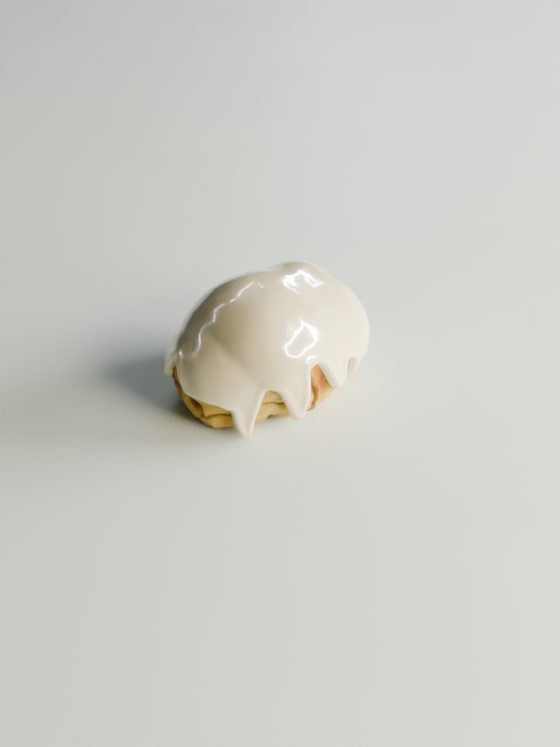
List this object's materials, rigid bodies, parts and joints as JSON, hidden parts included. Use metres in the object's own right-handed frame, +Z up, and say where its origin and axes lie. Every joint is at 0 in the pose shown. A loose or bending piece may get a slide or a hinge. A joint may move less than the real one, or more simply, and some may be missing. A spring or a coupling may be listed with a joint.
{
  "type": "salt bread roll",
  "caption": "Rolled, domed salt bread under a poured skin of pale glossy icing that runs down its sides in rounded drips; folded crust shows beneath.",
  "frame": {"origin": "on the surface the roll rests on, under the middle of its bounding box", "axes": "+X along the roll's length, from its low tapered end to its tall end; +Y across it; +Z up"},
  "size_m": [0.0992, 0.0838, 0.0543],
  "materials": {
    "crust": "baked dough crust, pale yellow to golden brown, satin from butter",
    "icing": "poured icing, warm ivory, glossy and slightly translucent"
  },
  "bodies": {
    "root": {"bread": "crust", "icing": "icing"}
  },
  "joints": []
}
